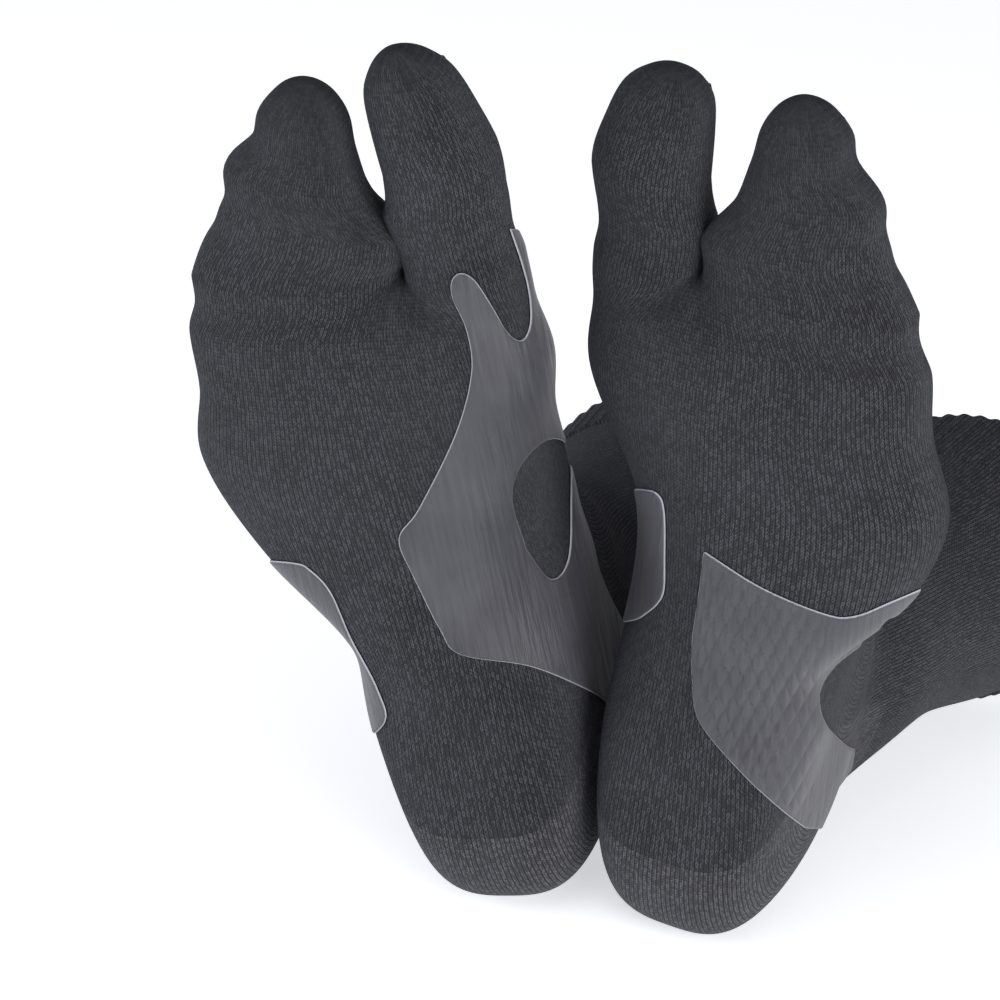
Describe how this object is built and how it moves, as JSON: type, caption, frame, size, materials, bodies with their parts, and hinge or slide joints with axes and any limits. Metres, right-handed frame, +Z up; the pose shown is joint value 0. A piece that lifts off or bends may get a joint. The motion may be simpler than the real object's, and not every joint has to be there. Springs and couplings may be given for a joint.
{
  "type": "split-toe compression socks",
  "caption": "Pair of split-toe knitted compression socks in their worn shape, with bonded smooth elastomer films that support the arch and heel.",
  "frame": {"origin": "middle of the pair's box, on the surface that the heels and the calves rest on", "axes": "+Z up towards the toes, soles facing -Y, legs going back along +Y, the right sock on the -X side"},
  "size_m": [0.1994, 0.2248, 0.2638],
  "materials": {
    "knit": "plain knit, heathered charcoal",
    "heel_knit": "denser terry-backed knit",
    "rib_knit": "ribbed doubled welt",
    "seam_thread": "linked closing seam",
    "support_film": "satin, smooth, with fine stretch marks"
  },
  "bodies": {
    "right_foot": {"right_ankle": "knit", "right_heel_pocket": "heel_knit", "right_instep": "knit", "right_arch_band": "knit", "right_forefoot": "knit", "right_toe_divide": "knit", "right_medial_film": "support_film", "right_lateral_film": "support_film"},
    "right_leg": {"right_leg": "knit", "right_cuff": "rib_knit"},
    "right_big_toe": {"right_big_toe_pocket": "knit", "right_big_toe_seam": "seam_thread"},
    "right_toes": {"right_toe_pocket": "knit", "right_toe_seam": "seam_thread"},
    "left_foot": {"left_ankle": "knit", "left_heel_pocket": "heel_knit", "left_instep": "knit", "left_arch_band": "knit", "left_forefoot": "knit", "left_toe_divide": "knit", "left_medial_film": "support_film", "left_lateral_film": "support_film"},
    "left_leg": {"left_leg": "knit", "left_cuff": "rib_knit"},
    "left_big_toe": {"left_big_toe_pocket": "knit", "left_big_toe_seam": "seam_thread"},
    "left_toes": {"left_toe_pocket": "knit", "left_toe_seam": "seam_thread"}
  },
  "joints": [
    {"name": "left_sock_apart", "type": "slide", "parent": "right_foot", "child": "left_foot", "axis": [1, 0, 0], "range_m": [0, 0.15]},
    {"name": "right_ankle_flex", "type": "hinge", "parent": "right_foot", "child": "right_leg", "pos_m": [-0.04255, -0.00658, 0.06049], "axis": [0.9731, 0.1909, 0.1288], "range_deg": [-20, 25], "stiffness_Nm_per_rad": 0.5, "deforming": ["right_ankle"]},
    {"name": "right_big_toe_flex", "type": "hinge", "parent": "right_foot", "child": "right_big_toe", "pos_m": [-0.04499, -0.0895, 0.20181], "axis": [0.9731, 0.1909, 0.1288], "range_deg": [-35, 25], "stiffness_Nm_per_rad": 0.05, "deforming": ["right_toe_divide"]},
    {"name": "right_toes_flex", "type": "hinge", "parent": "right_foot", "child": "right_toes", "pos_m": [-0.04499, -0.0895, 0.20181], "axis": [0.9731, 0.1909, 0.1288], "range_deg": [-35, 25], "stiffness_Nm_per_rad": 0.05, "deforming": ["right_toe_divide"]},
    {"name": "left_ankle_flex", "type": "hinge", "parent": "left_foot", "child": "left_leg", "pos_m": [0.02942, 0.00553, 0.05443], "axis": [0.9943, -0.0295, -0.1028], "range_deg": [-20, 25], "stiffness_Nm_per_rad": 0.5, "deforming": ["left_ankle"]},
    {"name": "left_big_toe_flex", "type": "hinge", "parent": "left_foot", "child": "left_big_toe", "pos_m": [0.04281, -0.06177, 0.20324], "axis": [0.9943, -0.0295, -0.1028], "range_deg": [-35, 25], "stiffness_Nm_per_rad": 0.05, "deforming": ["left_toe_divide"]},
    {"name": "left_toes_flex", "type": "hinge", "parent": "left_foot", "child": "left_toes", "pos_m": [0.04281, -0.06177, 0.20324], "axis": [0.9943, -0.0295, -0.1028], "range_deg": [-35, 25], "stiffness_Nm_per_rad": 0.05, "deforming": ["left_toe_divide"]}
  ]
}
